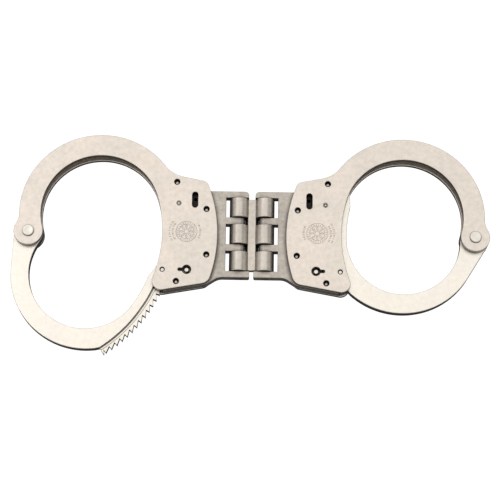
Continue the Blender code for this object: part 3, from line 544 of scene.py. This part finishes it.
def pin_bore(x):
    """The cutter for a hinge pin's bore, right through the hinge."""
    reach = HINGE_WIDTH
    profile = [(0, reach), (BORE_RADIUS, reach), (BORE_RADIUS, -reach), (0, -reach)]
    return crosswise(lathe(profile), x, 0)


def merged(*meshes):
    """One mesh that holds several."""
    work = bmesh.new()
    for mesh in meshes:
        work.from_mesh(mesh)
    made = bpy.data.meshes.new("merged")
    work.to_mesh(made)
    work.free()
    return made


def boolean(mesh, other, operation):
    """The mesh cut by, or joined to, another."""
    target = bpy.data.objects.new("target", mesh)
    tool = bpy.data.objects.new("tool", other)
    for obj in (target, tool):
        bpy.context.scene.collection.objects.link(obj)
    modifier = target.modifiers.new("boolean", "BOOLEAN")
    modifier.operation, modifier.object, modifier.solver = operation, tool, "EXACT"
    bpy.context.view_layer.update()
    made = evaluated_mesh(target)
    bpy.data.objects.remove(target)
    bpy.data.objects.remove(tool)
    return made


def mirrored(mesh, side):
    """The right cuff's mesh for the side asked for."""
    if side < 0:
        mesh.transform(Matrix.Scale(-1, 4, (1, 0, 0)))
        mesh.flip_normals()
    return mesh


def finished(name, mesh, material, body, slot, *nodes):
    """A piece in place, in metres, riding on its body in place of its CAD nodes."""
    mesh.transform(Matrix.Scale(MM, 4))
    mesh.materials.clear()
    mesh.materials.append(material)
    mesh.name = name
    mesh.shade_smooth()
    mesh.set_sharp_from_angle(angle=math.radians(SHARP_ANGLE))
    piece = bpy.data.objects.new(name, mesh)
    bpy.context.scene.collection.objects.link(piece)
    piece.location = PLAN_ORIGIN
    weighted = piece.modifiers.new("flat faces stay flat", "WEIGHTED_NORMAL")
    weighted.keep_sharp = True
    weighted.weight = FLAT_FACE_WEIGHT
    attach(piece, body)
    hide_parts(*nodes)


# ---------------------------------------------------------------------------------------------
# Materials


def feed(tree, socket, value):
    """Gives a node's input a value or another node's output."""
    if isinstance(value, bpy.types.NodeSocket):
        tree.links.new(value, socket)
    else:
        socket.default_value = value


def add(tree, kind, settings=None, **inputs):
    """A shader node with its settings, and inputs that are values or other nodes' outputs."""
    made = tree.nodes.new(kind)
    for key, value in (settings or {}).items():
        setattr(made, key, value)
    for key, value in inputs.items():
        feed(tree, made.inputs[key], value)
    return made


def sums(tree, operation, first, second):
    """One arithmetic step on two values or outputs."""
    made = tree.nodes.new("ShaderNodeMath")
    made.operation = operation
    for socket, value in zip(made.inputs, (first, second)):
        feed(tree, socket, value)
    return made.outputs[0]


def ramp(tree, value, *stops):
    """A value mapped through colour stops, each a position and a grey or a colour."""
    made = tree.nodes.new("ShaderNodeValToRGB")
    elements = made.color_ramp.elements
    while len(elements) < len(stops):
        elements.new(0.5)
    for element, (position, colour) in zip(elements, stops):
        element.position = position
        rgb = (colour,) * 3 if isinstance(colour, (int, float)) else colour
        element.color = (*rgb, 1)
    tree.links.new(value, made.inputs[0])
    return made.outputs[0]


def mixed(tree, blend, factor, first, second):
    """Two colours mixed by a factor."""
    made = tree.nodes.new("ShaderNodeMix")
    made.data_type, made.blend_type = "RGBA", blend
    for index, value in ((0, factor), (6, first), (7, second)):
        feed(tree, made.inputs[index], value)
    return made.outputs[2]


def noise(tree, vector, scale, detail, roughness=0.55):
    """The value of a noise texture."""
    values = {"Vector": vector, "Scale": scale, "Detail": detail, "Roughness": roughness}
    return add(tree, "ShaderNodeTexNoise", **values).outputs["Fac"]


def stretched(tree, vector, scale, angle=0.0):
    """Coordinates scaled by axis, after a turn about z."""
    turned = add(tree, "ShaderNodeMapping", Vector=vector)
    turned.inputs["Rotation"].default_value = (0, 0, math.radians(angle))
    scaled = add(tree, "ShaderNodeMapping", Vector=turned.outputs[0])
    scaled.inputs["Scale"].default_value = scale
    return scaled.outputs[0]


def metal(name, light, dark, painted_side_shade, roughness, grain=1.0, brushed=1.0, mottle=0.6, unshaded_openness=0.72):
    """A plated or bare metal: mottled colour, brush lines, fine grain, scratches, painted shade on the
    sides and painted shade in corners.

    painted_side_shade is how much of the colour the sides of a flat plate keep next to its faces, a
    painted shade. Corners with less open sky than unshaded_openness get painted shade. grain, brushed
    and mottle scale the specks, lines and patches.
    """
    material = bpy.data.materials.new(name)
    material.use_nodes = True
    tree = material.node_tree
    shader = tree.nodes["Principled BSDF"]
    shader.inputs["Metallic"].default_value = 1.0
    place = tree.nodes.new("ShaderNodeTexCoord")
    spot = place.outputs["Object"]

    cloud = noise(tree, spot, CLOUD_SCALE, 4.0)
    tint = ramp(tree, cloud, (0.32, dark), (0.68, light))
    patches = noise(tree, spot, PATCH_SCALE, 5.0, 0.65)
    patch = ramp(tree, patches, (0.3, 1.0 - 0.27 * mottle), (0.7, 1.0))
    colour = mixed(tree, "MULTIPLY", 1.0, tint, patch)

    # Painted shade on the sides: faces that stand upright get a darker colour than flat faces, in place
    # of the shade they fall in.
    upright = tree.nodes.new("ShaderNodeSeparateXYZ")
    tree.links.new(place.outputs["Normal"], upright.inputs[0])
    facing = sums(tree, "ABSOLUTE", upright.outputs["Z"], 0.0)
    upright_face_shading = ramp(tree, facing, (0.0, painted_side_shade), (0.22, painted_side_shade), (0.5, 1.0), (1.0, 1.0))
    colour = mixed(tree, "MULTIPLY", 1.0, colour, upright_face_shading)

    # Painted shade: the colour darkens where the AO node finds little open sky, in corners, recesses
    # and between parts.
    corners = add(tree, "ShaderNodeAmbientOcclusion", {"samples": 8}, Distance=PAINTED_SHADE_REACH)
    painted_corner_shade = ramp(tree, corners.outputs["AO"], (0.3 * unshaded_openness, 0.07), (unshaded_openness, 1.0))
    colour = mixed(tree, "MULTIPLY", 1.0, colour, painted_corner_shade)

    lines = noise(tree, stretched(tree, spot, BRUSH_SCALE), 1.0, 2.0, 0.7)
    specks = noise(tree, spot, SPECK_SCALE, 2.0, 0.6)
    scratch_spot = stretched(tree, spot, SCRATCH_SCALE, SCRATCH_ANGLE)
    scratches = ramp(tree, noise(tree, scratch_spot, 1.0, 1.0, 0.5), (0.70, 0.0), (0.74, 1.0))
    line_height = sums(tree, "MULTIPLY", lines, 0.8 * brushed)
    speck_height = sums(tree, "MULTIPLY", specks, 0.8 * grain)
    height = sums(tree, "ADD", line_height, speck_height)
    height = sums(tree, "SUBTRACT", height, sums(tree, "MULTIPLY", scratches, 0.5))
    relief = {"Height": height, "Strength": RELIEF_STRENGTH, "Distance": RELIEF_DEPTH}
    bump = add(tree, "ShaderNodeBump", **relief)
    tree.links.new(bump.outputs[0], shader.inputs["Normal"])

    varied = sums(tree, "MULTIPLY", sums(tree, "SUBTRACT", specks, 0.5), 0.18)
    clouded = sums(tree, "MULTIPLY", sums(tree, "SUBTRACT", cloud, 0.5), 0.12)
    rough = sums(tree, "ADD", sums(tree, "ADD", varied, clouded), roughness)
    tree.links.new(rough, shader.inputs["Roughness"])

    worn = mixed(tree, "MIX", sums(tree, "MULTIPLY", scratches, 0.25), colour, (*light, 1))
    tree.links.new(worn, shader.inputs["Base Color"])
    return material


SATIN = metal(
    "satin_nickel", (0.616, 0.556, 0.492), (0.558, 0.508, 0.458),
    painted_side_shade=0.40, roughness=0.34, unshaded_openness=0.8,
)
BOW = metal(
    "bright_satin_nickel", (0.700, 0.657, 0.588), (0.660, 0.622, 0.564),
    painted_side_shade=0.20, roughness=0.34, mottle=0.35, unshaded_openness=0.5,
)
HINGE = metal(
    "hinge_nickel", (0.480, 0.437, 0.385), (0.385, 0.350, 0.310),
    painted_side_shade=0.90, roughness=0.42, grain=1.8, brushed=0.5, mottle=1.2, unshaded_openness=0.97,
)
LINK = metal(
    "link_nickel", (0.545, 0.498, 0.440), (0.467, 0.426, 0.380),
    painted_side_shade=0.85, roughness=0.38, grain=1.3, brushed=0.6, mottle=0.8,
)
RIVET = metal(
    "rivet_nickel", (0.640, 0.610, 0.560), (0.570, 0.540, 0.490),
    painted_side_shade=0.55, roughness=0.28, grain=0.8, brushed=0.3,
)
# Near-black steel for the lock parts. On the link's flange it is painted shadow.
LOCK_STEEL_AND_SHADOW = metal(
    "lock_steel", (0.030, 0.028, 0.027), (0.018, 0.017, 0.016),
    painted_side_shade=0.7, roughness=0.45, grain=1.2, brushed=0.8,
)
SPRING = metal(
    "spring_steel", (0.080, 0.085, 0.110), (0.050, 0.050, 0.060),
    painted_side_shade=0.8, roughness=0.30, grain=0.5, brushed=0.5,
)


# ---------------------------------------------------------------------------------------------
# The pieces


def emblem():
    """Cutters for a plain rosette in the cheek's face: rings, petals, and ticks round and beside."""
    tools = []

    def groove(points, closed):
        data = bpy.data.curves.new("groove", "CURVE")
        data.dimensions = "3D"
        data.bevel_depth = GROOVE_RADIUS
        data.bevel_resolution = 1
        data.use_fill_caps = not closed
        mesh = curve_mesh(data, [points], CHEEK_FACE + GROOVE_RISE, closed)
        tools.append(edited(mesh, weld))

    step = 360 / ROSETTE_SIDES
    for radius in ROSETTE_RINGS:
        groove([EMBLEM_CENTRE + radius * along(step * i) for i in range(ROSETTE_SIDES)], True)
    step = 360 / CROWN_TICKS
    for i in range(CROWN_TICKS):
        turn = step * i + step / 2
        groove([EMBLEM_CENTRE + radius * along(turn) for radius in CROWN_RADII], False)
    for i in range(PETALS):
        turn = 360 / PETALS * i
        middle = EMBLEM_CENTRE + PETAL_PLACE * along(turn)
        petal = [
            middle + PETAL_LENGTH * math.cos(math.radians(a)) * along(turn)
            + PETAL_WIDTH * math.sin(math.radians(a)) * left_of(turn)
            for a in range(0, 360, PETAL_STEP)
        ]
        groove(petal, True)
    for start, count, radius in TICK_ROWS:
        for i in range(count):
            turn = start + TICK_PITCH * i
            foot = EMBLEM_CENTRE + radius * along(turn)
            lean = along(turn + TICK_LEANS[i % len(TICK_LEANS)])
            groove([foot, foot + TICK_LENGTH * lean], False)
    return merged(*tools)


def add_cheeks(side_name, side):
    """The two plates of the double bow. The upper one has the openings and the rosette."""
    rivet_hole = BODY_RIVET_RADIUS + HOLE_CLEARANCE
    shared = [circle(centre, rivet_hole) for centre in BODY_RIVETS]
    shared.append(circle(BAR_PIVOT, BAR_PIN_RADIUS + HOLE_CLEARANCE))
    shared.append(circle(JAW_PIVOT, PIVOT_SHANK + HOLE_CLEARANCE))
    stud_hole = circle(GUIDE_STUD, GUIDE_STUD_RADIUS + HOLE_CLEARANCE)
    openings = [keyhole_outline(), slot_outline(), stud_hole]
    upper = plate([cheek_outline(), *shared, *openings], CHEEK_BASE, CHEEK_FACE, PLATE_EDGE)
    upper = mirrored(boolean(upper, emblem(), "DIFFERENCE"), side)
    body = f"{side_name}_cuff"
    name = f"{side_name}_upper_cheek"
    finished(f"{name}_plate", upper, SATIN, body, "satin_nickel", name)

    post_hole = circle(KEY_CENTRE, KEY_POST_RADIUS + HOLE_CLEARANCE)
    lower = plate([cheek_outline(), *shared, post_hole], -CHEEK_FACE, -CHEEK_BASE, PLATE_EDGE)
    floor, foot = PIVOT_FOOT_DEPTH - CHEEK_FACE, -CHEEK_FACE - BORE_OVERRUN
    profile = [
        (0, floor),
        (PIVOT_FOOT_BORE, floor),
        (PIVOT_FOOT_BORE, -CHEEK_FACE + BORE_CHAMFER_DEPTH),
        (PIVOT_FOOT_BORE + BORE_CHAMFER_WIDTH, foot),
        (0, foot),
    ]
    lower = mirrored(boolean(lower, lathe(profile, JAW_PIVOT), "DIFFERENCE"), side)
    name = f"{side_name}_lower_cheek"
    finished(f"{name}_plate", lower, SATIN, body, "satin_nickel", name)


def add_hinge_frame(side_name, side):
    """The spacer and hinge plate, with a round knuckle on the end of each inner finger."""
    holes = [circle(centre, BODY_RIVET_RADIUS + HOLE_CLEARANCE) for centre in BODY_RIVETS]
    mesh = plate([frame_outline(), *holes], -FRAME / 2, FRAME / 2, FRAME_EDGE)
    half = (BARREL_PITCH - WINDOW_WIDTH) / 2
    knuckles = []
    for place in (BARREL_PITCH / 2, -BARREL_PITCH / 2):
        profile = pin_profile(KNUCKLE_RADIUS - KNUCKLE_INSET, -half, half, FRAME_EDGE)
        knuckles.append(crosswise(lathe(profile), PIN_X, place))
    mesh = boolean(mesh, merged(*knuckles), "UNION")
    mesh = mirrored(boolean(mesh, pin_bore(PIN_X), "DIFFERENCE"), side)
    name = f"{side_name}_hinge_frame"
    finished(f"{name}_plate", mesh, HINGE, f"{side_name}_cuff", "hinge_nickel", name)


def add_jaw(side_name, side):
    """The swinging bow with its step, teeth and grooves, turned to where it rests."""
    hole = circle(JAW_PIVOT, PIVOT_SHANK + HOLE_CLEARANCE)
    mesh = plate([jaw_outline(), hole], -JAW / 2, JAW / 2, PLATE_EDGE)
    edge = web_line(STEP_EDGE, WEB_END - STEP_INSET, JAW_TIP + STEP_INSET)
    step = plate([step_outline(edge)], -STEP_THICKNESS / 2, STEP_THICKNESS / 2, WEB_STEP_EDGE)
    teeth = plate([step_outline(tooth_run())], -TOOTH_THICKNESS / 2, TOOTH_THICKNESS / 2, WEB_STEP_EDGE)
    mesh = boolean(mesh, step, "UNION")
    mesh = boolean(mesh, teeth, "UNION")
    start, end = WEB_END + WEB_GROOVE_LEAD, JAW_TIP - WEB_GROOVE_TAIL
    for inner, outer, floor in WEB_GROOVES:
        outline = joined(web_line(outer, start, end), web_line(inner, end, start))
        for face in (1, -1):
            low, high = sorted((face * floor, face * JAW))
            mesh = boolean(mesh, plate([outline], low, high, WEB_GROOVE_EDGE), "DIFFERENCE")
    pivot = JAW_PIVOT.to_3d()
    turn = Matrix.Rotation(math.radians(TEETH_OPEN[side_name] * TOOTH_PITCH), 4, "Z")
    mesh.transform(Matrix.Translation(pivot) @ turn @ Matrix.Translation(-pivot))
    name = f"{side_name}_jaw"
    finished(f"{name}_bow", mirrored(mesh, side), BOW, f"{name}_body", "satin_nickel", name)


def add_fasteners(side_name, side):
    """Rivets, pins, the guide stud and the key post."""
    body = f"{side_name}_cuff"

    def fastener(name, profile, centre):
        node = f"{side_name}_{name}"
        mesh = mirrored(lathe(profile, centre), side)
        finished(f"{node}_turned", mesh, RIVET, body, "rivet_nickel", node)

    head_base, head_top = CHEEK_FACE + HOLE_CLEARANCE, CHEEK_FACE + PIVOT_HEAD_HEIGHT
    foot_top = PIVOT_FOOT_DEPTH - CHEEK_FACE - HOLE_CLEARANCE
    profile = [
        *[(PIVOT_HEAD * share, head_top - depth) for share, depth in PIVOT_DISH],
        *top_edge(PIVOT_HEAD, head_top, PIVOT_HEAD_EDGE),
        (PIVOT_HEAD, head_base),
        (PIVOT_SHANK, head_base),
        (PIVOT_SHANK, foot_top),
        (PIVOT_HEAD, foot_top),
        *foot_edge(PIVOT_HEAD, -CHEEK_FACE, PIN_EDGE),
        (0, -CHEEK_FACE),
    ]
    fastener("pivot_rivet", profile, JAW_PIVOT)

    reach = CHEEK_FACE - BODY_RIVET_RECESS
    rim = BODY_RIVET_RADIUS + SNUG
    profile = [
        *[(BUTTON_RADIUS * share, reach - depth) for share, depth in BUTTON_CROWN],
        *top_edge(BUTTON_RADIUS, reach - BUTTON_DROP, PIN_EDGE),
        (BUTTON_RADIUS, reach - BUTTON_FOOT),
        (rim, reach - BUTTON_SEAT),
        *foot_edge(rim, -reach, PIN_EDGE),
        (0, -reach),
    ]
    for number, centre in enumerate(BODY_RIVETS, start=1):
        fastener(f"body_rivet_{number}", profile, centre)

    rim = BAR_PIN_RADIUS + SNUG / 2
    profile = [
        *[(radius, CHEEK_FACE - depth) for radius, depth in BAR_PIN_HEAD],
        *top_edge(rim, CHEEK_FACE, BAR_PIN_EDGE),
        *foot_edge(rim, -CHEEK_FACE, PIN_EDGE),
        (0, -CHEEK_FACE),
    ]
    fastener("lock_bar_pin", profile, BAR_PIVOT)

    stud_top = CHEEK_FACE - GUIDE_STUD_RECESS
    rim = GUIDE_STUD_RADIUS + SNUG
    profile = [
        (0, stud_top),
        *top_edge(STUD_HEAD, stud_top, PIN_EDGE),
        (STUD_HEAD, stud_top - STUD_HEAD_HEIGHT),
        (rim, stud_top - STUD_HEAD_HEIGHT),
        *foot_edge(rim, GUIDE_STUD_TIP, PIN_EDGE),
        (0, GUIDE_STUD_TIP),
    ]
    fastener("guide_stud", profile, GUIDE_STUD)

    post_top = CHEEK_FACE - KEY_POST_RECESS
    profile = pin_profile(KEY_POST_RADIUS, -CHEEK_FACE, post_top, KEY_POST_EDGE, KEY_POST_DISH)
    fastener("key_post", profile, KEY_CENTRE)

    half = PIN_LENGTH / 2
    profile = pin_profile(PIN_RADIUS, -half, half, PIN_EDGE, HINGE_PIN_DISH)
    pin = mirrored(crosswise(lathe(profile), PIN_X, 0), side)
    node = f"{side_name}_hinge_pin"
    finished(f"{node}_turned", pin, RIVET, "link", "rivet_nickel", node)


def add_link():
    """The web and six barrels as one piece, bored for the pins, and under the web a flange in
    near-black lock steel between the barrels, a painted shadow.
    """
    reach = BARREL_LENGTH / 2
    profile = pin_profile(BARREL_RADIUS, -reach, reach, BARREL_EDGE)
    barrels = [
        crosswise(lathe(profile, segments=BARREL_SIDES), side * PIN_X, y)
        for _, side in SIDES
        for y in BARREL_PLACES
    ]
    bores = merged(*[pin_bore(side * PIN_X) for _, side in SIDES])
    mesh = boolean(slab(LINK_WEB, 0, LINK_EDGE), merged(*barrels), "UNION")
    mesh = boolean(mesh, bores, "DIFFERENCE")
    finished("hinge_link_barrels", mesh, LINK, "link", "link_nickel", "hinge_link")
    # The flange's near-black lock steel is painted shadow: it fills the gap beside the web and under
    # the barrels with dark.
    flange = boolean(slab(LINK_FLANGE, FLANGE_HEIGHT, FLANGE_EDGE), bores, "DIFFERENCE")
    finished("hinge_link_shadow_flange", flange, LOCK_STEEL_AND_SHADOW, "link", "link_nickel", "hinge_link")


def dress_inner_parts():
    """The hidden lock parts keep their CAD shape and get their metals."""
    metals = {"lock_bar": LOCK_STEEL_AND_SHADOW, "double_lock_slide": LOCK_STEEL_AND_SHADOW, "lock_spring": SPRING}
    for side_name, _ in SIDES:
        for node, material in metals.items():
            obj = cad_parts[f"{side_name}_{node}"]
            obj.data.materials.clear()
            obj.data.materials.append(material)


# ---------------------------------------------------------------------------------------------
# Floor, light and camera


def add_floor():
    """A white, softly glowing ground that lights and mirrors nothing, low enough for a folded cuff."""
    mesh = bpy.data.meshes.new("floor")
    reach = FLOOR_REACH
    work = bmesh.new()
    corners = ((-reach, -reach), (reach, -reach), (reach, reach), (-reach, reach))
    work.faces.new([work.verts.new((x, y, FLOOR_HEIGHT)) for x, y in corners])
    work.to_mesh(mesh)
    work.free()
    floor = bpy.data.objects.new("floor", mesh)
    bpy.context.scene.collection.objects.link(floor)
    floor.visible_glossy = floor.visible_diffuse = False
    material = bpy.data.materials.new("pale_floor")
    material.use_nodes = True
    shader = material.node_tree.nodes["Principled BSDF"]
    shader.inputs["Base Color"].default_value = (0.12, 0.12, 0.12, 1)
    shader.inputs["Roughness"].default_value = 0.9
    shader.inputs["Specular IOR Level"].default_value = 0.0
    shader.inputs["Emission Color"].default_value = (1, 1, 1, 1)
    shader.inputs["Emission Strength"].default_value = FLOOR_GLOW
    mesh.materials.append(material)


def add_light(name, place, size, power):
    """A square soft box that points at the object."""
    data = bpy.data.lights.new(name, "AREA")
    data.shape, data.size, data.energy, data.color = "SQUARE", size, power, LIGHT_COLOUR
    light = bpy.data.objects.new(name, data)
    light.location = place
    light.rotation_mode = "QUATERNION"
    light.rotation_quaternion = Vector(place).to_track_quat("Z", "Y")
    bpy.context.scene.collection.objects.link(light)


def add_world():
    """Soft light from all round, brightest a little above the horizon and dark straight below."""
    world = bpy.data.worlds.new("studio")
    world.use_nodes = True
    tree = world.node_tree
    place = tree.nodes.new("ShaderNodeTexCoord")
    split = tree.nodes.new("ShaderNodeSeparateXYZ")
    tree.links.new(place.outputs["Generated"], split.inputs[0])
    level = sums(tree, "MULTIPLY_ADD", split.outputs["Z"], 0.5)
    level.node.inputs[2].default_value = 0.5
    tree.links.new(ramp(tree, level, *SKY), tree.nodes["Background"].inputs["Color"])
    bpy.context.scene.world = world


def add_camera():
    """The photograph's view: from above and a little in front, with a long lens."""
    data = bpy.data.cameras.new("camera")
    data.lens, data.sensor_width = CAMERA_LENS, SENSOR_WIDTH
    camera = bpy.data.objects.new("camera", data)
    tilt = Matrix.Rotation(math.radians(90 - CAMERA_ELEVATION), 4, "X")
    roll = Matrix.Rotation(math.radians(CAMERA_ROLL), 4, "Z")
    aim = PLAN_ORIGIN + CAMERA_AIM * MM
    back = Matrix.Translation((0, 0, CAMERA_DISTANCE * MM))
    camera.matrix_world = Matrix.Translation(aim) @ tilt @ roll @ back
    bpy.context.scene.collection.objects.link(camera)
    bpy.context.scene.camera = camera


def main():
    add_link()
    for side_name, side in SIDES:
        add_cheeks(side_name, side)
        add_hinge_frame(side_name, side)
        add_jaw(side_name, side)
        add_fasteners(side_name, side)
    dress_inner_parts()
    add_floor()
    add_world()
    for soft_box in SOFT_BOXES:
        add_light(*soft_box)
    add_camera()
    bpy.context.scene.view_settings.view_transform = "Standard"


main()
